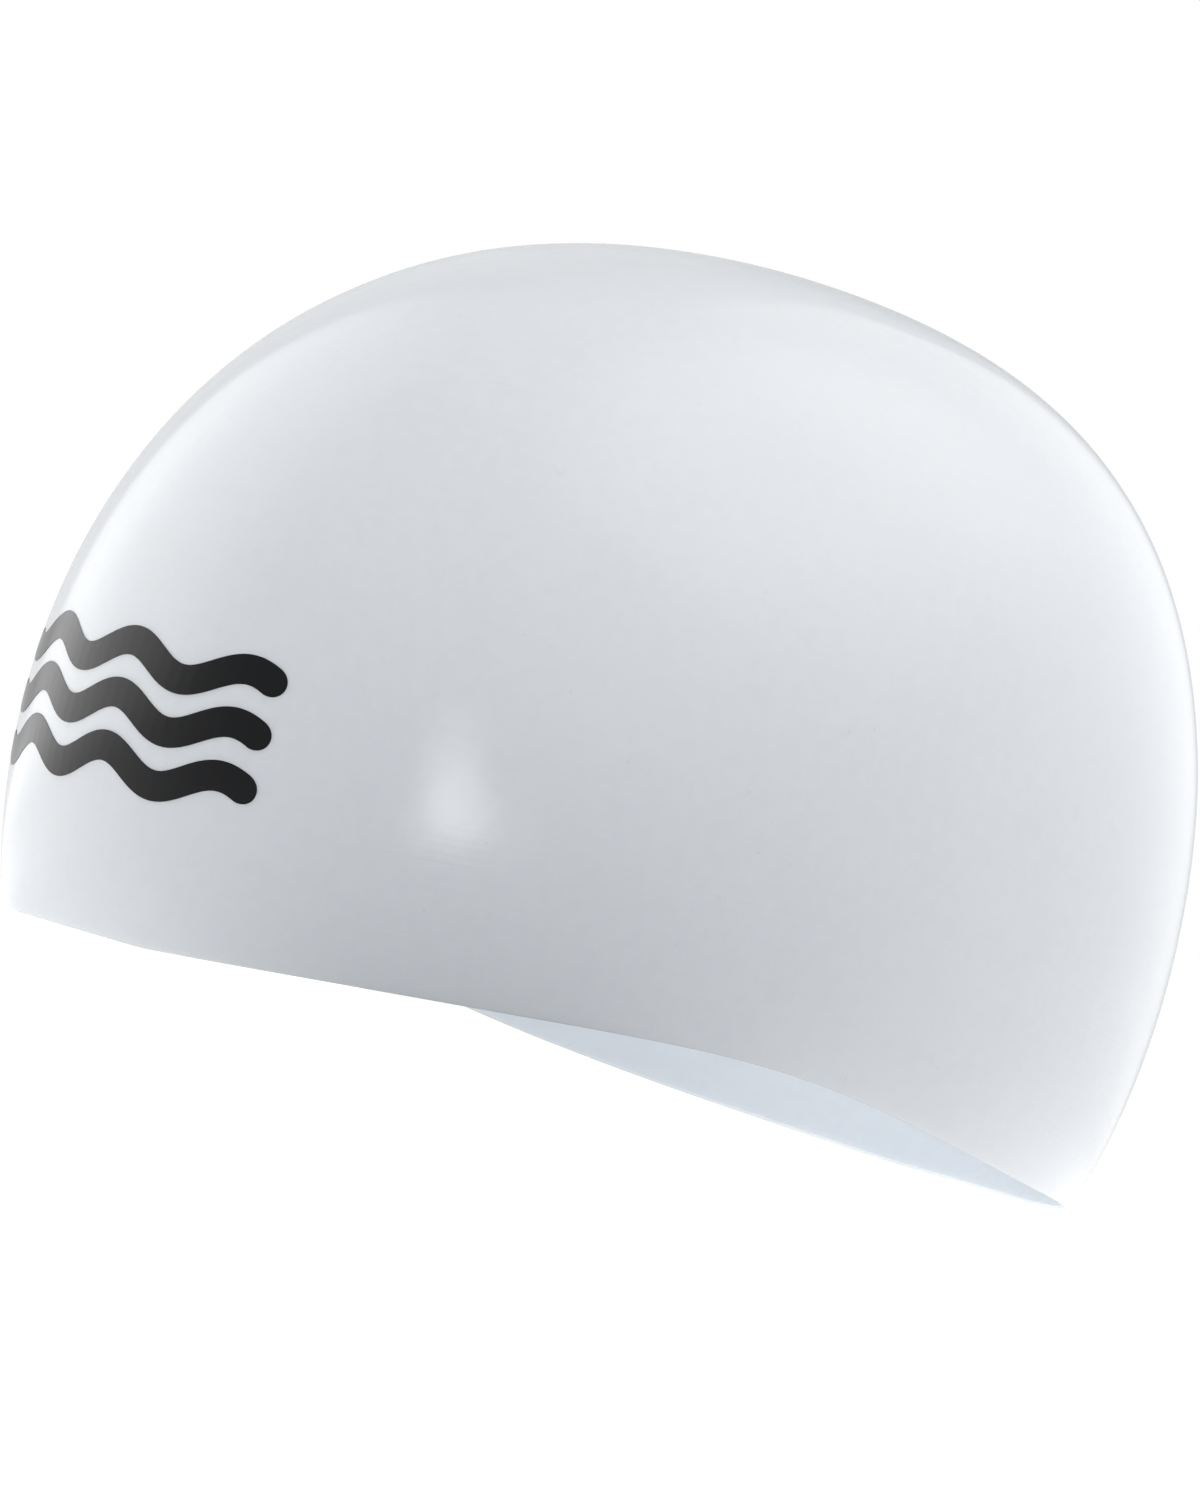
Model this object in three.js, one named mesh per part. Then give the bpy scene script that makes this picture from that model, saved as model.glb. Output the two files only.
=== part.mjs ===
// Moulded dome swim cap: one shell of silicone, open below, standing on its rim.
// Millimetres. +Z is up, the forehead is towards -Y and the wearer's left ear towards +X.
// The origin lies on the ground under the middle of the cap.
import * as THREE from "three";

// Driving dimensions
const FRONT_REACH = 94.5; // crown line to the forehead, at the fullest level
const BACK_REACH = 100; // crown line to the back of the head, at the fullest level
const WIDTH = 154; // ear to ear, at the fullest level
const HEIGHT = 130; // ground to crown
const WALL = 1; // silicone, the same all over
const EAR_ARCH = 8; // how far the rim rises over each ear
const RIM_WAVE = 0.7; // slight in and out of that arch, seen along the rim
const REST_LAND = 36; // flat stretch of the rim that it stands on, at the front and at the back
const SKIRT_HEIGHT = 27; // band above the rim where the side stops drawing in
const CROWN_SET_BACK = 7; // crown behind the middle line of the rim

// Form
const FORWARD_SHARE = 0.43; // share of the arch that leans towards the forehead
const CORNER_SHARE = 0.03; // fullness of the plan between its four sides, over an ellipse

// Control points of the profile from the crown down to the rim, one row for each direction.
// Reaches are shares of the reach in that direction.
const REACH_SHARES = {
  front: { crown: 0.35, upper: 0.74, lower: 1.15, skirt: 1.04, rim: 0.93 },
  side: { crown: 0.42, upper: 0.76, lower: 1.09, skirt: 1.03, rim: 0.96 },
  back: { crown: 0.37, upper: 0.73, lower: 1.03, skirt: 1.07, rim: 0.93 },
};

// Levels of two of those points, as shares of the height.
const LEVEL_SHARES = {
  front: { upper: 0.935, lower: 0.665 },
  side: { upper: 0.955, lower: 0.71 },
  back: { upper: 0.95, lower: 0.7 },
};

// Fineness of the surface
const AROUND = 64;
const DOWN = 21;

const SILICONE = new THREE.MeshStandardMaterial({
  name: "silicone",
  color: 0xdfe3e8,
  roughness: 0.35,
  metalness: 0,
});

// Value on the curve that a row of control values makes, at t from 0 to 1.
function bezier(controls, t) {
  let row = controls;
  while (row.length > 1) {
    row = row.slice(1).map((value, i) => THREE.MathUtils.lerp(row[i], value, t));
  }
  return row[0];
}

// Reach at an angle from the forehead, an oval through the three reaches with full corners.
function reachAt(angle, part) {
  const front = FRONT_REACH * REACH_SHARES.front[part];
  const side = (WIDTH / 2) * REACH_SHARES.side[part];
  const back = BACK_REACH * REACH_SHARES.back[part];
  const along = (front + back) / 2 + ((front - back) / 2) * Math.cos(angle);
  const oval = 1 / Math.hypot(Math.cos(angle) / along, Math.sin(angle) / side);
  return oval * (1 + CORNER_SHARE * Math.sin(2 * angle) ** 2);
}

// Level at an angle from the forehead, a smooth wave through the three levels.
function levelAt(angle, part) {
  const { front, side, back } = LEVEL_SHARES;
  const mean = (front[part] + 2 * side[part] + back[part]) / 4;
  const tilt = ((front[part] - back[part]) / 2) * Math.cos(angle);
  const wave = ((front[part] + back[part] - 2 * side[part]) / 4) * Math.cos(2 * angle);
  return HEIGHT * (mean + tilt + wave);
}

// Height of the rim: on the ground at the front and back lands, arched over the ears.
function rimLevel(angle) {
  const landEdge = (REST_LAND / 2 / (FRONT_REACH * REACH_SHARES.front.rim)) ** 2;
  const rise = Math.max(0, (Math.sin(angle) ** 2 - landEdge) / (1 - landEdge));
  return rise * (EAR_ARCH * (1 + FORWARD_SHARE * Math.cos(angle)) + RIM_WAVE * Math.cos(4 * angle));
}

// Point of the outer surface, t from 0 at the crown to 1 at the rim.
function outerPoint(angle, t) {
  const rim = rimLevel(angle);
  const reaches = ["crown", "upper", "lower", "skirt", "rim"].map((part) => reachAt(angle, part));
  const levels = [levelAt(angle, "upper"), levelAt(angle, "lower"), SKIRT_HEIGHT + rim, rim];
  const reach = bezier([0, ...reaches], t);
  const z = bezier([HEIGHT, HEIGHT, ...levels], t);
  const setBack = CROWN_SET_BACK * (z / HEIGHT) ** 2;
  return new THREE.Vector3(reach * Math.sin(angle), setBack - reach * Math.cos(angle), z);
}

// Direction out of the wall at a point of the outer surface.
function outwards(angle, t) {
  const step = 1e-4;
  const down = outerPoint(angle, t + step).sub(outerPoint(angle, t - step));
  const around = outerPoint(angle + step, t).sub(outerPoint(angle - step, t));
  return down.cross(around).normalize();
}

// Point of the inner surface, one wall in. Its rim ends level with the outer one.
function innerPoint(angle, t) {
  const outer = outerPoint(angle, t);
  if (t === 0) return outer.setZ(outer.z - WALL);
  const normal = outwards(angle, t);
  if (t < 1) return outer.addScaledVector(normal, -WALL);
  const slope = Math.hypot(normal.x, normal.y);
  return outer.addScaledVector(normal.setZ(0), -WALL / slope ** 2);
}

// Closed shell: the outer surface, the inner one turned round, and the cut edge between their rims.
function shellGeometry() {
  const positions = [];
  const triangles = [];
  const surfaces = [outerPoint, innerPoint].map((pointAt) => {
    const pole = positions.push(pointAt(0, 0)) - 1;
    const rings = Array.from({ length: DOWN }, (_, ring) =>
      Array.from({ length: AROUND }, (_, i) => {
        const angle = (2 * Math.PI * i) / AROUND;
        return positions.push(pointAt(angle, (ring + 1) / DOWN)) - 1;
      }),
    );
    return { pole, rings };
  });
  const addTriangle = (a, b, c, flipped) => triangles.push(...(flipped ? [a, c, b] : [a, b, c]));
  const addBand = (upper, lower, flipped) => {
    for (let i = 0; i < AROUND; i++) {
      const next = (i + 1) % AROUND;
      addTriangle(upper[i], lower[i], lower[next], flipped);
      addTriangle(upper[i], lower[next], upper[next], flipped);
    }
  };
  surfaces.forEach(({ pole, rings }, side) => {
    const flipped = side === 1;
    for (let i = 0; i < AROUND; i++) {
      addTriangle(pole, rings[0][i], rings[0][(i + 1) % AROUND], flipped);
    }
    for (let ring = 1; ring < DOWN; ring++) {
      addBand(rings[ring - 1], rings[ring], flipped);
    }
  });
  const [outerRim, innerRim] = surfaces.map(({ rings }) => rings[DOWN - 1]);
  addBand(outerRim, innerRim, false);
  const geometry = new THREE.BufferGeometry().setFromPoints(positions).setIndex(triangles);
  geometry.computeVertexNormals();
  return geometry;
}

function shell() {
  const mesh = new THREE.Mesh(shellGeometry(), SILICONE);
  mesh.name = "shell";
  mesh.geometry.computeBoundingBox();
  mesh.position.y = -mesh.geometry.boundingBox.getCenter(new THREE.Vector3()).y;
  return mesh;
}

const swimCap = new THREE.Group();
swimCap.name = "swim_cap";
swimCap.add(shell());

export default swimCap;
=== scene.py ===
import math

import bpy
from mathutils import Matrix, Vector


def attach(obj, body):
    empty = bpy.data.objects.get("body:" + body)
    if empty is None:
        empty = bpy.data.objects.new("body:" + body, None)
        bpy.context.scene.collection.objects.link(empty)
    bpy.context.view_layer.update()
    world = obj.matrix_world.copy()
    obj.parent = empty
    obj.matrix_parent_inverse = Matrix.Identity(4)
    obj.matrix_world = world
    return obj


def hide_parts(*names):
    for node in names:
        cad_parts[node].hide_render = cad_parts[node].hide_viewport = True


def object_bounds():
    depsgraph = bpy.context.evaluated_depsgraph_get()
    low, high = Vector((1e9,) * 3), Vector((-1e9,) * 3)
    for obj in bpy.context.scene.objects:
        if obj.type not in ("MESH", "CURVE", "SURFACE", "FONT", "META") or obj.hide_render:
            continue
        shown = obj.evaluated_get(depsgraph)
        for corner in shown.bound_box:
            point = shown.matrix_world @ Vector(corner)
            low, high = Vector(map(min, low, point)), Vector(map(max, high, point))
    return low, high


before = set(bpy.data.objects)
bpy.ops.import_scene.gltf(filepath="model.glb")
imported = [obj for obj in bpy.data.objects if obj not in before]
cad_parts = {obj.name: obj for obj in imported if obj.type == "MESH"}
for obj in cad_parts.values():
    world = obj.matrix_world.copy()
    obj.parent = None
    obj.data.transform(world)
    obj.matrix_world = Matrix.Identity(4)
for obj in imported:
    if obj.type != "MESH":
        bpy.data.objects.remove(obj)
bpy.context.view_layer.update()
cad_low, cad_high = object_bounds()

MM = 0.001

# Camera, at the photograph's azimuth and roll and just above the floor
PHOTO_WIDTH = 1200
PHOTO_HEIGHT = 1500
SENSOR = 36
CAMERA_AZIMUTH = 55.7
CAMERA_ELEVATION = -2
CAMERA_ROLL = 16.2
CAMERA_DISTANCE = 1.3
PHOTO_PIXELS_PER_MM = 6.35
AIM_RIGHT = -8.7 * MM
AIM_UP = -13.2 * MM

# Even glow of the room, and the tint of its lights
ROOM_GLOW = 0.28
GLOW_COLOUR = (0.95, 0.995, 1.055)
LIGHT_COLOUR = (1.01, 1, 0.99)

# Soft round lights by the direction they come from, all angles in degrees. Columns: turn from the camera's
# direction, rise in the picture, angle of full strength round it, angle where it ends, strength
ROOM_LIGHTS = (
    (80, 50, 10, 45, 1.4),
    (85, 42, 20, 85, 0.3),
    (60, 180, 15, 60, 0.32),
    (115, 338, 15, 65, 0.46),
    (90, 270, 15, 60, 1.12),
    (160, 270, 20, 85, 0.38),
    (85, 215, 10, 50, 0.62),
    (155, 100, 10, 42, -0.14),
    (152, 145, 10, 32, 0.26),
    (7, 186, 0, 10, 4.6),
    (12.5, 133, 0, 9, 2),
    (13.5, 196, 0, 9, 1.6),
    (5, 285, 0, 8, 1.2),
)
LEFT_LIGHTS = (
    (118, 146, 10, 40, 0.95),
    (135, 152, 15, 55, 0.32),
    (112, 175, 15, 50, 0.4),
)
RIGHT_LIGHTS = ((136, 42, 12, 50, 0.42),)

# Straight edge, behind the cap, of the lights on the left and right: shares across, above and to the camera
LEFT_EDGE = (-0.933, 0.36, 0.53)
RIGHT_EDGE = (1, 0, 0.3)
EDGE_SOFTNESS = 0.015

# Floor, which the camera sees as white as the room
FLOOR_RADIUS = 4
FLOOR_COLOUR = (0.88, 0.885, 0.895, 1)
FLOOR_SEEN = (1.15, 1.15, 1.15, 1)
FLOOR_GLOW_NEAR = 0.8
FLOOR_FADE_START = 0.15
FLOOR_FADE_END = 0.6

# Sizes of the cap, the same as the solid's
FRONT_REACH = 94.5 * MM
BACK_REACH = 100 * MM
HALF_WIDTH = 77 * MM
HEIGHT = 130 * MM
WALL = 1 * MM
EAR_ARCH = 8 * MM
RIM_WAVE = 0.7 * MM
REST_LAND = 36 * MM
SKIRT_HEIGHT = 27 * MM
CROWN_SET_BACK = 7 * MM
FORWARD_SHARE = 0.43
CORNER_SHARE = 0.03

# Shares of the reach and height at the profile's control points: front, side and back
CROWN = (0.35, 0.42, 0.37)
UPPER = (0.74, 0.76, 0.73)
UPPER_LEVEL = (0.935, 0.955, 0.95)
LOWER = (1.15, 1.09, 1.03)
LOWER_LEVEL = (0.665, 0.71, 0.7)
SKIRT = (1.04, 1.03, 1.07)
RIM = (0.93, 0.96, 0.93)

# Finish of the surface
AROUND = 224
DOWN = 96
UNEVENNESS = 0.25 * MM
UNEVEN_SCALE = 34
EVEN_BELOW = 8 * MM
UNEVEN_ABOVE = 40 * MM
EDGE_ROUNDING = 0.25 * MM
EDGE_STEPS = 3
SHARP_CORNER = math.radians(50)
POLE_MERGE = 0.01 * MM
FILM_MERGE = 0.001 * MM

# Printed waves on the front
WAVES = 3
WAVE_LENGTH = 24 * MM
WAVE_RISE = 2 * MM
WAVE_SPACING = 8.2 * MM
LINE_LENGTH = 72 * MM
LINE_WIDTH = 4.6 * MM
PRINT_LEVEL = 34 * MM
INK_PROUD = 0.07 * MM
INK_DEPTH = 0.06 * MM
FRONT_CURVATURE = 61 * MM
PRINT_STEPS = 240
PRINT_ROWS = 8

# Small ring and fine upright lines that the mould left on the inside
RING_ANGLE = math.radians(-58.5)
RING_LEVEL = 18.5 * MM
RING_RADIUS = 4.2 * MM
RING_BEAD = 0.22 * MM
RING_STEPS = 48
BEAD_STEPS = 8
MOULD_LINES = (0.462, 0.476)
MOULD_LINE_TOP = 0.8
MOULD_LINE_FULL = 0.84

# Tints of the silicone, each from pale to deep, of its marks and of the ink
OUTSIDE_TINTS = (0.765, 0.783, 0.803, 1), (0.743, 0.766, 0.792, 1)
INSIDE_TINTS = (0.75, 0.785, 0.82, 1), (0.72, 0.76, 0.80, 1)
EDGE_TINTS = (0.60, 0.625, 0.615, 1), (0.54, 0.565, 0.555, 1)
MARK_TINT = (0.4, 0.42, 0.45, 1)
MARK_STRENGTH = 0.14
INK_TINTS = (0.001, 0.0012, 0.0018, 1), (0.002, 0.0023, 0.003, 1)


class Value:
    """A socket of a node tree, on which arithmetic adds Math nodes."""

    def __init__(self, graph, socket):
        self.graph = graph
        self.socket = socket

    def __add__(self, other):
        return self.graph.math("ADD", self, other)

    def __radd__(self, other):
        return self.graph.math("ADD", other, self)

    def __sub__(self, other):
        return self.graph.math("SUBTRACT", self, other)

    def __rsub__(self, other):
        return self.graph.math("SUBTRACT", other, self)

    def __mul__(self, other):
        return self.graph.math("MULTIPLY", self, other)

    def __rmul__(self, other):
        return self.graph.math("MULTIPLY", other, self)

    def __truediv__(self, other):
        return self.graph.math("DIVIDE", self, other)

    def __pow__(self, other):
        return self.graph.math("POWER", self, other)

    def __abs__(self):
        return self.graph.math("ABSOLUTE", self)


class Graph:
    """A shader or geometry node tree that is built by calls."""

    def __init__(self, tree):
        self.tree = tree

    def add(self, kind, settings=None, inputs=None, out=0):
        """A new node with its settings made first, then its inputs; gives one output."""
        node = self.tree.nodes.new(kind)
        for name, value in (settings or {}).items():
            setattr(node, name, value)
        for key, value in (inputs or {}).items():
            if isinstance(value, Value):
                self.tree.links.new(value.socket, node.inputs[key])
            else:
                node.inputs[key].default_value = value
        return Value(self, node.outputs[out])

    def output(self, value, name):
        """Another output of the node that a value comes from."""
        return Value(self, value.socket.node.outputs[name])

    def math(self, operation, *values):
        return self.add("ShaderNodeMath", {"operation": operation}, dict(enumerate(values)))

    def sin(self, value):
        return self.math("SINE", value)

    def cos(self, value):
        return self.math("COSINE", value)

    def most(self, *values):
        return self.math("MAXIMUM", *values)

    def vector_math(self, operation, *values, out=0):
        return self.add("ShaderNodeVectorMath", {"operation": operation}, dict(enumerate(values)), out)

    def scaled(self, way, factor):
        return self.add("ShaderNodeVectorMath", {"operation": "SCALE"}, {0: way, "Scale": factor})

    def vector(self, x, y, z):
        return self.add("ShaderNodeCombineXYZ", inputs={0: x, 1: y, 2: z})

    def parts(self, value):
        """The three parts of a vector."""
        first = self.add("ShaderNodeSeparateXYZ", inputs={0: value})
        return first, self.output(first, 1), self.output(first, 2)

    def band(self, value, low, high):
        """0 below low, 1 above high, smooth between."""
        return self.add(
            "ShaderNodeMapRange",
            {"interpolation_type": "SMOOTHSTEP"},
            {"Value": value, "From Min": low, "From Max": high},
        )

    def noise(self, place, scale, detail=2, roughness=0.5):
        return self.add(
            "ShaderNodeTexNoise",
            inputs={"Vector": place, "Scale": scale, "Detail": detail, "Roughness": roughness},
        )

    def mix(self, factor, first, second):
        """Mix of two colours."""
        return self.add(
            "ShaderNodeMix",
            {"data_type": "RGBA"},
            {0: factor, 6: first, 7: second},
            out=2,
        )

    def joined(self, *pieces):
        """One geometry of several."""
        node = self.tree.nodes.new("GeometryNodeJoinGeometry")
        for piece in pieces:
            self.tree.links.new(piece.socket, node.inputs["Geometry"])
        return Value(self, node.outputs[0])

    def bump(self, height, depth, below=None):
        """Relief of a height from 0 to 1, this deep, on top of another relief."""
        inputs = {"Height": height, "Distance": depth, "Strength": 1}
        if below:
            inputs["Normal"] = below
        return self.add("ShaderNodeBump", inputs=inputs)


# Geometry Nodes


def geometry_graph(name, sizes):
    """A new geometry tree with a mesh input and output and a named input for each size."""
    tree = bpy.data.node_groups.new(name, "GeometryNodeTree")
    tree.interface.new_socket("Geometry", in_out="INPUT", socket_type="NodeSocketGeometry")
    tree.interface.new_socket("Geometry", in_out="OUTPUT", socket_type="NodeSocketGeometry")
    keys = {}
    for size in sizes:
        kind = "NodeSocketInt" if isinstance(sizes[size], int) else "NodeSocketFloat"
        keys[size] = tree.interface.new_socket(size, in_out="INPUT", socket_type=kind).identifier
    graph = Graph(tree)
    source = tree.nodes.new("NodeGroupInput")
    values = {size: Value(graph, source.outputs[size]) for size in sizes}
    values["Geometry"] = Value(graph, source.outputs["Geometry"])
    return graph, values, keys


def grown(name, graph, result, sizes, keys, material, carrier=None):
    """The plain mesh object that the tree makes, with its faces in the material."""
    painted = graph.add("GeometryNodeSetMaterial", inputs={"Geometry": result, "Material": material})
    real = graph.add("GeometryNodeRealizeInstances", inputs={"Geometry": painted})
    sink = graph.tree.nodes.new("NodeGroupOutput")
    graph.tree.links.new(real.socket, sink.inputs[0])
    start = carrier.copy() if carrier else bpy.data.meshes.new(name + "_host")
    host = bpy.data.objects.new(name, start)
    bpy.context.scene.collection.objects.link(host)
    modifier = host.modifiers.new("grow", "NODES")
    modifier.node_group = graph.tree
    for size, value in sizes.items():
        modifier[keys[size]] = value
    bpy.context.view_layer.update()
    evaluated = host.evaluated_get(bpy.context.evaluated_depsgraph_get())
    mesh = bpy.data.meshes.new_from_object(evaluated)
    host.modifiers.remove(modifier)
    host.data = mesh
    mesh.name = name
    return host


# Shell


def reach_at(graph, angle, sizes, shares):
    """Reach at an angle from the forehead, an oval through the three reaches with full corners."""
    front = sizes["Front Reach"] * shares[0]
    side = sizes["Half Width"] * shares[1]
    back = sizes["Back Reach"] * shares[2]
    cosine, sine = graph.cos(angle), graph.sin(angle)
    along = (front + back) * 0.5 + (front - back) * 0.5 * cosine
    oval = ((cosine / along) ** 2 + (sine / side) ** 2) ** -0.5
    return oval * (1 + CORNER_SHARE * graph.sin(2 * angle) ** 2)


def level_at(graph, angle, sizes, shares):
    """Level at an angle from the forehead, a smooth wave through the three levels."""
    front, side, back = shares
    mean = (front + 2 * side + back) / 4
    wave = graph.cos(2 * angle) * ((front + back - 2 * side) / 4)
    return sizes["Height"] * (mean + (front - back) / 2 * graph.cos(angle) + wave)


def rim_level(graph, angle, sizes):
    """Height of the rim: on the ground at the front and back, arched over the ears."""
    land = (sizes["Rest Land"] / 2 / (sizes["Front Reach"] * RIM[0])) ** 2
    rise = graph.most(0, (graph.sin(angle) ** 2 - land) / (1 - land))
    arch = sizes["Ear Arch"] * (1 + FORWARD_SHARE * graph.cos(angle))
    return rise * (arch + sizes["Rim Wave"] * graph.cos(4 * angle))


def bezier(controls, t):
    """Value on the curve that the control values make, at t from 0 to 1."""
    order = len(controls) - 1
    total = 0
    for k, control in enumerate(controls):
        total = total + math.comb(order, k) * t**k * (1 - t) ** (order - k) * control
    return total


def outer_surface():
    """The smooth outside of the cap as an open mesh, with how far round and down it is as its UV map."""
    sizes = {
        "Front Reach": FRONT_REACH,
        "Back Reach": BACK_REACH,
        "Half Width": HALF_WIDTH,
        "Height": HEIGHT,
        "Ear Arch": EAR_ARCH,
        "Rim Wave": RIM_WAVE,
        "Rest Land": REST_LAND,
        "Skirt Height": SKIRT_HEIGHT,
        "Crown Set Back": CROWN_SET_BACK,
        "Unevenness": UNEVENNESS,
        "Around": AROUND,
        "Down": DOWN,
    }
    graph, given, keys = geometry_graph("dome", sizes)
    grid = graph.add(
        "GeometryNodeMeshGrid",
        inputs={"Size X": 1, "Size Y": 1, "Vertices X": given["Around"] + 1, "Vertices Y": given["Down"] + 1},
    )
    across, down, _ = graph.parts(graph.add("GeometryNodeInputPosition"))
    around = across + 0.5
    t = 0.5 - down
    angle = 2 * math.pi * around
    rim = rim_level(graph, angle, given)
    reaches = [reach_at(graph, angle, given, shares) for shares in (CROWN, UPPER, LOWER, SKIRT, RIM)]
    levels = [level_at(graph, angle, given, shares) for shares in (UPPER_LEVEL, LOWER_LEVEL)]
    skirt = given["Skirt Height"] + rim
    reach = bezier([0, *reaches], t)
    height = bezier([given["Height"], given["Height"], *levels, skirt, rim], t)
    set_back = given["Crown Set Back"] * (height / given["Height"]) ** 2
    spot = graph.vector(reach * graph.sin(angle), set_back - reach * graph.cos(angle), height)
    mapped = graph.add(
        "GeometryNodeStoreNamedAttribute",
        {"data_type": "FLOAT2", "domain": "CORNER"},
        {"Geometry": grid, "Name": "UVMap", "Value": graph.vector(around, t, 0)},
    )
    bent = graph.add("GeometryNodeSetPosition", inputs={"Geometry": mapped, "Position": spot})
    closed = graph.add("GeometryNodeMergeByDistance", inputs={"Geometry": bent, "Distance": POLE_MERGE})
    place = graph.add("GeometryNodeInputPosition")
    clear_of_rim = graph.band(graph.parts(place)[2], EVEN_BELOW, UNEVEN_ABOVE)
    hollow = given["Unevenness"] * clear_of_rim * graph.noise(place, UNEVEN_SCALE, 1)
    inward = graph.scaled(graph.add("GeometryNodeInputNormal"), -1 * hollow)
    worn = graph.add("GeometryNodeSetPosition", inputs={"Geometry": closed, "Offset": inward})
    smooth = graph.add("GeometryNodeSetShadeSmooth", inputs={"Geometry": worn, "Shade Smooth": True})
    return grown("cap", graph, smooth, sizes, keys, None)


def make_cap():
    """The shell's open outer surface and the finished piece: outside, inside and rounded cut edge."""
    shell = outer_surface()
    mesh = shell.data
    middle = (min(v.co.y for v in mesh.vertices) + max(v.co.y for v in mesh.vertices)) / 2
    for vertex in mesh.vertices:
        vertex.co.y -= middle
    outside = mesh.copy()
    mesh.materials.clear()
    for material in (silicone_outside(), silicone_inside(), silicone_edge()):
        mesh.materials.append(material)
    wall = shell.modifiers.new("wall", "SOLIDIFY")
    wall.thickness = WALL
    wall.offset = -1
    wall.use_even_offset = True
    wall.material_offset = 1
    wall.material_offset_rim = 2
    edge = shell.modifiers.new("edge", "BEVEL")
    edge.width = EDGE_ROUNDING
    edge.segments = EDGE_STEPS
    edge.limit_method = "ANGLE"
    edge.angle_limit = SHARP_CORNER
    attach(shell, "root")
    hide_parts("shell")
    return outside


# Print and mould mark, laid on the shell


def laid_on(graph, carrier, angle, level, axis):
    """Point and normal of the outer surface, seen from an upright axis at an angle and a level."""
    hit = graph.add(
        "GeometryNodeRaycast",
        inputs={
            "Target Geometry": carrier,
            "Source Position": graph.vector(0, axis, level),
            "Ray Direction": graph.vector(graph.sin(angle), -1 * graph.cos(angle), 0),
            "Ray Length": FRONT_REACH + BACK_REACH,
        },
        out="Hit Position",
    )
    return hit, graph.output(hit, "Hit Normal")


def make_print(outside):
    """Wavy printed lines with round ends, a film of ink that is sunk a little into the silicone."""
    sizes = {
        "Waves": WAVES,
        "Wave Length": WAVE_LENGTH,
        "Wave Rise": WAVE_RISE,
        "Spacing": WAVE_SPACING,
        "Line Length": LINE_LENGTH,
        "Line Width": LINE_WIDTH,
        "Level": PRINT_LEVEL,
        "Proud": INK_PROUD,
        "Depth": INK_DEPTH,
        "Curvature": FRONT_CURVATURE,
    }
    graph, given, keys = geometry_graph("waves", sizes)
    rows = graph.add("GeometryNodeMeshLine", inputs={"Count": given["Waves"], "Offset": (0, 0, 1)})
    strip = graph.add(
        "GeometryNodeMeshGrid",
        inputs={"Size X": 1, "Size Y": 1, "Vertices X": PRINT_STEPS + 1, "Vertices Y": PRINT_ROWS + 1},
    )
    copies = graph.add("GeometryNodeInstanceOnPoints", inputs={"Points": rows, "Instance": strip})
    strips = graph.add("GeometryNodeRealizeInstances", inputs={"Geometry": copies})
    along, across, row = graph.parts(graph.add("GeometryNodeInputPosition"))
    end = given["Line Width"] * 0.5
    run = given["Line Length"] * 0.5 * graph.sin(math.pi * along)
    past = graph.most(0, abs(run) - given["Line Length"] * 0.5 + end) / end
    half = end * graph.most(0, 1 - past**2) ** 0.5
    turn = 2 * math.pi * run / given["Wave Length"]
    slope = given["Wave Rise"] * graph.cos(turn) * (2 * math.pi) / given["Wave Length"]
    upright = (1 + slope**2) ** -0.5
    crowded = graph.sin(math.pi / 2 * graph.sin(math.pi * across))
    offset = crowded * half * upright
    centre_row = (given["Waves"] - 1) * 0.5
    level = given["Level"] + (row - centre_row) * given["Spacing"] + given["Wave Rise"] * graph.sin(turn)
    axis = -(FRONT_REACH - FRONT_CURVATURE)
    angle = (run - slope * offset) / given["Curvature"]
    hit, normal = laid_on(graph, given["Geometry"], angle, level + offset, axis)
    lower = graph.vector_math("ADD", hit, graph.scaled(normal, -1 * given["Depth"]))
    laid = graph.add("GeometryNodeSetPosition", inputs={"Geometry": strips, "Position": lower})
    whole = graph.add("GeometryNodeMergeByDistance", inputs={"Geometry": laid, "Distance": FILM_MERGE})
    raised = graph.add(
        "GeometryNodeExtrudeMesh",
        {"mode": "FACES"},
        {"Mesh": whole, "Offset Scale": given["Proud"] + given["Depth"], "Individual": False},
    )
    base = graph.add("GeometryNodeFlipFaces", inputs={"Mesh": whole})
    smooth = graph.add(
        "GeometryNodeSetShadeSmooth",
        inputs={"Geometry": raised, "Shade Smooth": graph.output(raised, "Top")},
    )
    both = graph.joined(smooth, base)
    closed = graph.add("GeometryNodeMergeByDistance", inputs={"Geometry": both, "Distance": FILM_MERGE})
    waves = grown("front_print", graph, closed, sizes, keys, ink(), outside)
    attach(waves, "root")


def make_mould_mark(outside):
    """Small raised ring on the inside of the wall."""
    sizes = {
        "Angle": RING_ANGLE,
        "Level": RING_LEVEL,
        "Radius": RING_RADIUS,
        "Bead": RING_BEAD,
        "Wall": WALL,
    }
    graph, given, keys = geometry_graph("mould_mark", sizes)
    ring, section = (
        graph.add("GeometryNodeCurvePrimitiveCircle", inputs={"Resolution": steps, "Radius": radius})
        for steps, radius in ((RING_STEPS, given["Radius"]), (BEAD_STEPS, given["Bead"]))
    )
    bead = graph.add("GeometryNodeCurveToMesh", inputs={"Curve": ring, "Profile Curve": section})
    across, up, out = graph.parts(graph.add("GeometryNodeInputPosition"))
    angle = given["Angle"] + across / HALF_WIDTH
    hit, normal = laid_on(graph, given["Geometry"], angle, given["Level"] + up, 0)
    spot = graph.vector_math("ADD", hit, graph.scaled(normal, out - given["Wall"]))
    bent = graph.add("GeometryNodeSetPosition", inputs={"Geometry": bead, "Position": spot})
    smooth = graph.add("GeometryNodeSetShadeSmooth", inputs={"Geometry": bent, "Shade Smooth": True})
    mark = grown("mould_ring", graph, smooth, sizes, keys, silicone_inside(), outside)
    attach(mark, "root")


# Materials


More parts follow.
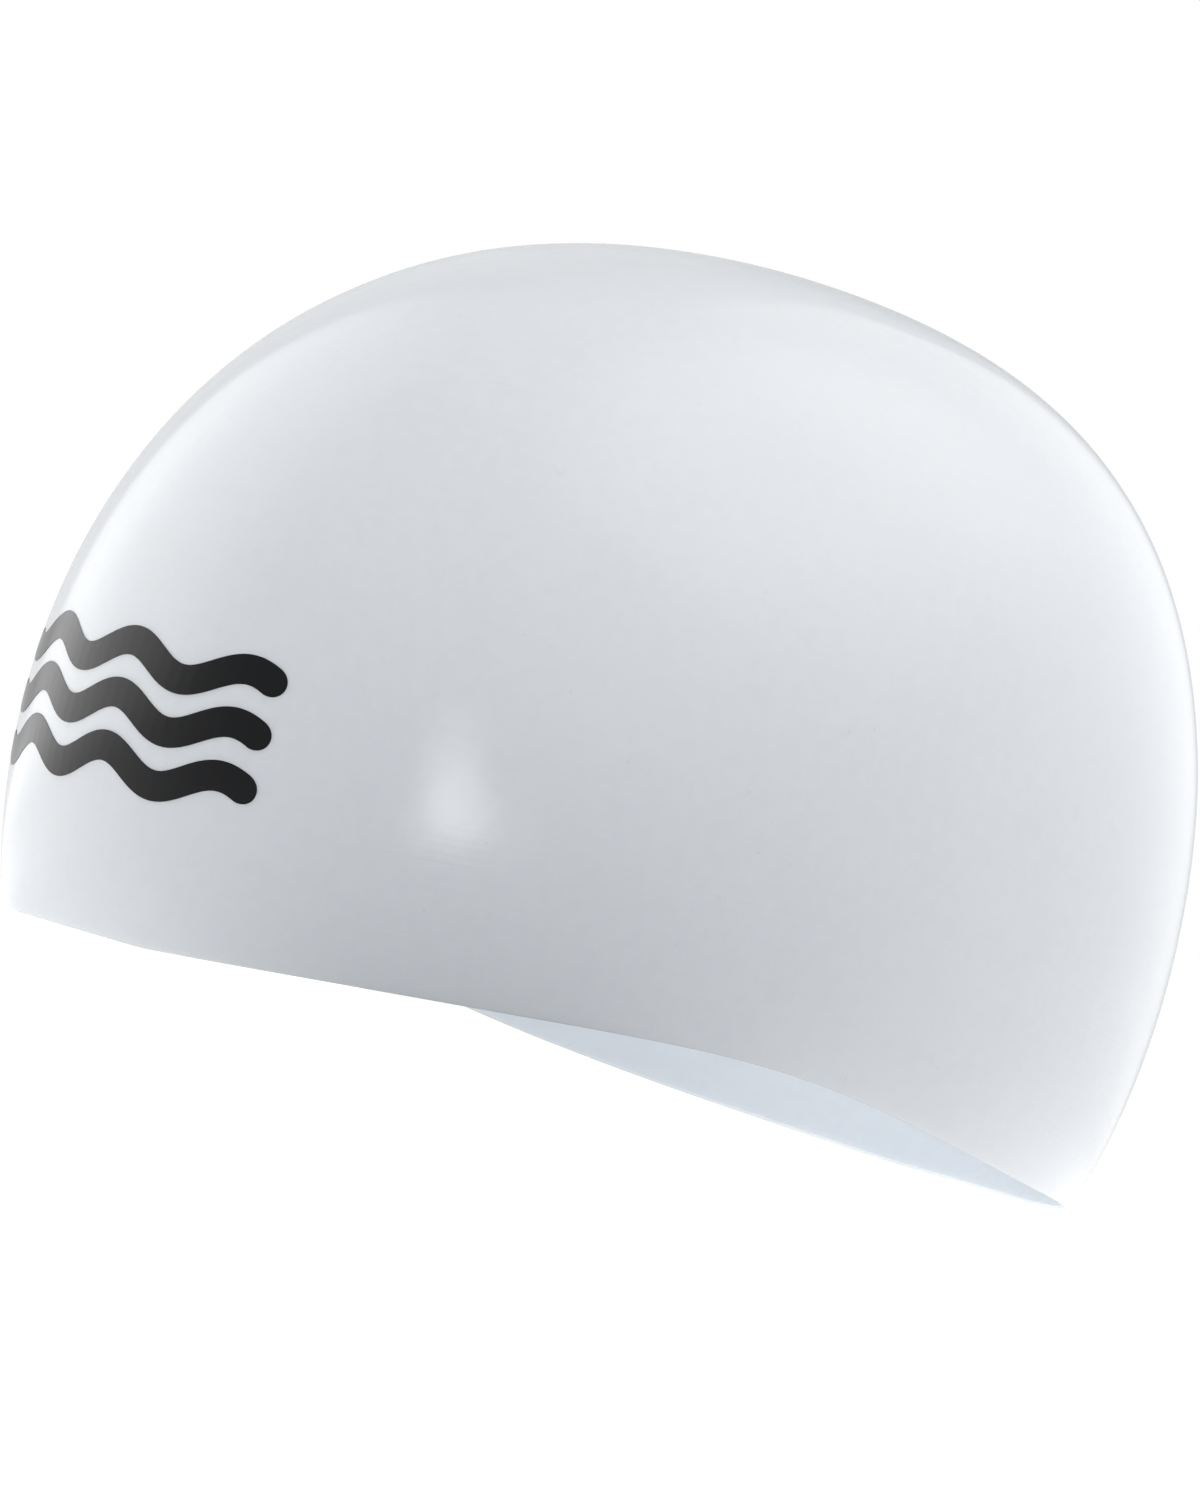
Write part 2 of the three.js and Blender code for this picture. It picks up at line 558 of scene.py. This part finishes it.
def studio_material(name):
    """A new material with its graph and its Principled shader node."""
    material = bpy.data.materials.new(name)
    material.use_nodes = True
    graph = Graph(material.node_tree)
    shader = material.node_tree.nodes["Principled BSDF"]
    return material, graph, shader


def feed(graph, shader, **sockets):
    """Sets or links sockets of the shader; an underscore in a name stands for a space."""
    for name, value in sockets.items():
        socket = shader.inputs[name.replace("_", " ")]
        if isinstance(value, Value):
            graph.tree.links.new(value.socket, socket)
        else:
            socket.default_value = value


def specks(graph, place, scale, radius, share):
    """1 on tiny round specks, in a share of the cells of this scale, 0 elsewhere."""
    cell = graph.add("ShaderNodeTexVoronoi", inputs={"Vector": place, "Scale": scale, "Randomness": 1})
    chance = graph.parts(graph.output(cell, "Color"))[0]
    chosen = graph.band(chance, 1 - share, 1.02 - share)
    return (1 - graph.band(cell, radius * scale * 0.4, radius * scale)) * chosen


def hairlines(graph, place):
    """1 on a few short fine scratches, 0 elsewhere."""
    winding = abs(graph.noise(place, 70, 1) - 0.5)
    here = specks(graph, place, 55, 3.2 * MM, 0.35)
    return (1 - graph.band(winding, 0.002, 0.006)) * here


def wrapped(graph):
    """How far round and down the cap, both from 0 to 1."""
    return graph.parts(graph.add("ShaderNodeUVMap", {"uv_map": "UVMap"}))[:2]


def rim_lines(graph, place):
    """Fine polish lines that run round the cap just above its rim."""
    down = wrapped(graph)[1]
    x, y, _ = graph.parts(place)
    streaks = graph.noise(graph.vector(x * 14, y * 14, down * 190), 1, 3, 0.6)
    return streaks * graph.band(down, 0.6, 0.85)


def silicone(name, tints, shine, matt):
    """Satin silicone between two tints and two roughnesses, with its place and its cloudy colour."""
    material, graph, shader = studio_material(name)
    place = graph.add("ShaderNodeTexCoord", out=3)
    cloud = graph.noise(place, 26, 3, 0.55)
    grain = graph.noise(place, 420, 2)
    pale, deep = tints
    clouded = graph.mix(graph.band(cloud * 0.6 + grain * 0.4, 0.35, 0.65), deep, pale)
    feed(
        graph,
        shader,
        Base_Color=clouded,
        Roughness=shine + (matt - shine) * grain,
        IOR=1.43,
        Subsurface_Weight=0.6,
        Subsurface_Radius=(1, 1, 1.1),
        Subsurface_Scale=3 * MM,
    )
    return material, graph, shader, place, clouded


def silicone_outside():
    """The glossy outside, with a few specks and short scratches and fine lines above the rim."""
    material, graph, shader, place, clouded = silicone("silicone_outside", OUTSIDE_TINTS, 0.09, 0.15)
    marks = graph.most(specks(graph, place, 170, 0.35 * MM, 0.6), hairlines(graph, place))
    marked = graph.mix(marks * MARK_STRENGTH, clouded, MARK_TINT)
    peel = graph.bump(graph.noise(place, 700, 2), 0.012 * MM)
    lined = graph.bump(rim_lines(graph, place), 0.03 * MM, peel)
    feed(graph, shader, Base_Color=marked, Normal=lined)
    return material


def mould_line(graph, around, middle):
    """A fine upright ridge at a share of the way round."""
    return 1 - graph.band(abs(around - middle), 0.0003, 0.0008)


def silicone_inside():
    """The bluer, frosted inside, with the mould's fine lines at the rim."""
    material, graph, shader, place, _ = silicone("silicone_inside", INSIDE_TINTS, 0.42, 0.55)
    around, down = wrapped(graph)
    frost = graph.bump(graph.noise(place, 900, 3), 0.03 * MM)
    seam = graph.most(*(mould_line(graph, around, middle) for middle in MOULD_LINES))
    lined = graph.bump(seam * graph.band(down, MOULD_LINE_TOP, MOULD_LINE_FULL), 0.05 * MM, frost)
    feed(graph, shader, Normal=lined)
    return material


def silicone_edge():
    """The trimmed rim, a little darker and greener than the moulded surface."""
    material, graph, shader, place, _ = silicone("silicone_edge", EDGE_TINTS, 0.42, 0.6)
    feed(graph, shader, Normal=graph.bump(graph.noise(place, 1600, 2), 0.02 * MM))
    return material


def ink():
    """Flexible near-black ink with a soft gloss."""
    material, graph, shader = studio_material("ink")
    place = graph.add("ShaderNodeTexCoord", out=3)
    wear = graph.noise(place, 300, 4, 0.6)
    feed(
        graph,
        shader,
        Base_Color=graph.mix(wear, *INK_TINTS),
        Roughness=0.14 + 0.1 * wear,
        IOR=1.36,
        Normal=graph.bump(graph.noise(place, 1100, 2), 0.008 * MM),
    )
    return material


# Camera and studio


def direction(azimuth, elevation):
    """From the object towards a place that is seen at this azimuth and elevation."""
    a, e = math.radians(azimuth), math.radians(elevation)
    return Vector((math.sin(a) * math.cos(e), -math.cos(a) * math.cos(e), math.sin(e)))


def make_camera():
    """The camera and its three directions: to the right, up and back from the picture."""
    data = bpy.data.cameras.new("camera")
    camera = bpy.data.objects.new("camera", data)
    bpy.context.scene.collection.objects.link(camera)
    data.sensor_width = SENSOR
    focal_pixels = PHOTO_PIXELS_PER_MM * CAMERA_DISTANCE / MM
    data.lens = SENSOR * focal_pixels / max(PHOTO_WIDTH, PHOTO_HEIGHT)
    data.clip_start = 0.01
    back = direction(CAMERA_AZIMUTH, CAMERA_ELEVATION)
    right = (-back).cross(Vector((0, 0, 1))).normalized()
    up = right.cross(-back)
    roll = math.radians(CAMERA_ROLL)
    across = right * math.cos(roll) + up * math.sin(roll)
    above = up * math.cos(roll) - right * math.sin(roll)
    aim = (cad_low + cad_high) / 2 + across * AIM_RIGHT + above * AIM_UP
    axes = Matrix((across, above, back)).transposed()
    camera.matrix_world = Matrix.Translation(aim + back * CAMERA_DISTANCE) @ axes.to_4x4()
    bpy.context.scene.camera = camera
    return across, above, back


def way_to(turn, rise, sides):
    """A direction turned from the camera's by one angle, towards the side of the picture at another."""
    across, above, back = sides
    t, r = math.radians(turn), math.radians(rise)
    return back * math.cos(t) + (across * math.cos(r) + above * math.sin(r)) * math.sin(t)


def light_from(graph, way, sides):
    """Colour of the room's light from a direction, which is given from the cap."""

    def patches(lights):
        total = 0
        for turn, rise, full, end, strength in lights:
            near = graph.vector_math("DOT_PRODUCT", way, tuple(way_to(turn, rise, sides)), out=1)
            start, top = (math.cos(math.radians(angle)) for angle in (end, full))
            total = total + strength * graph.band(near, start, top)
        return total

    def beyond(edge):
        limit = sum((side * share for side, share in zip(sides, edge)), Vector())
        past = graph.vector_math("DOT_PRODUCT", way, tuple(limit), out=1)
        return graph.band(past, -EDGE_SOFTNESS, EDGE_SOFTNESS)

    left = patches(LEFT_LIGHTS) * beyond(LEFT_EDGE)
    right = patches(RIGHT_LIGHTS) * beyond(RIGHT_EDGE)
    lights = patches(ROOM_LIGHTS) + left + right
    glow = tuple(ROOM_GLOW * part for part in GLOW_COLOUR)
    return graph.vector_math("MULTIPLY_ADD", graph.vector(lights, lights, lights), LIGHT_COLOUR, glow)


def make_room(sides):
    """Light of the room by its direction, and plain white where the camera sees it."""
    world = bpy.data.worlds.new("studio")
    bpy.context.scene.world = world
    world.use_nodes = True
    world.node_tree.nodes.clear()
    graph = Graph(world.node_tree)
    way = graph.add("ShaderNodeTexCoord", out=0)
    room = graph.add("ShaderNodeBackground", inputs={"Color": light_from(graph, way, sides), "Strength": 1})
    white = graph.add("ShaderNodeBackground", inputs={"Color": (1, 1, 1, 1), "Strength": 1})
    seen = graph.add("ShaderNodeLightPath")
    both = graph.add("ShaderNodeMixShader", inputs={0: seen, 1: room, 2: white})
    sink = world.node_tree.nodes.new("ShaderNodeOutputWorld")
    world.node_tree.links.new(both.socket, sink.inputs["Surface"])


def make_floor(sides):
    """A plain pale floor that gives back the room's light and fades into the white behind it."""
    bpy.ops.mesh.primitive_circle_add(vertices=96, radius=FLOOR_RADIUS, fill_type="NGON")
    floor = bpy.context.active_object
    floor.name = "floor"
    material = bpy.data.materials.new("floor")
    material.use_nodes = True
    material.node_tree.nodes.clear()
    graph = Graph(material.node_tree)
    place = graph.add("ShaderNodeTexCoord", out=3)
    from_cap = graph.vector_math("SUBTRACT", place, (0, 0, HEIGHT / 2))
    way = graph.vector_math("NORMALIZE", from_cap)
    seen = graph.add("ShaderNodeLightPath")
    light = graph.mix(seen, light_from(graph, way, sides), FLOOR_SEEN)
    near = graph.add("ShaderNodeBsdfDiffuse", inputs={"Color": FLOOR_COLOUR})
    glow = graph.add("ShaderNodeEmission", inputs={"Color": light, "Strength": 1})
    away = graph.vector_math("LENGTH", place, out=1)
    faded = graph.band(away, FLOOR_FADE_START, FLOOR_FADE_END)
    share = FLOOR_GLOW_NEAR + (1 - FLOOR_GLOW_NEAR) * faded
    both = graph.add("ShaderNodeMixShader", inputs={0: share, 1: near, 2: glow})
    sink = material.node_tree.nodes.new("ShaderNodeOutputMaterial")
    material.node_tree.links.new(both.socket, sink.inputs["Surface"])
    floor.data.materials.append(material)


bpy.context.scene.view_settings.view_transform = "Standard"
picture_sides = make_camera()
make_room(picture_sides)
make_floor(picture_sides)
outside = make_cap()
make_print(outside)
make_mould_mark(outside)
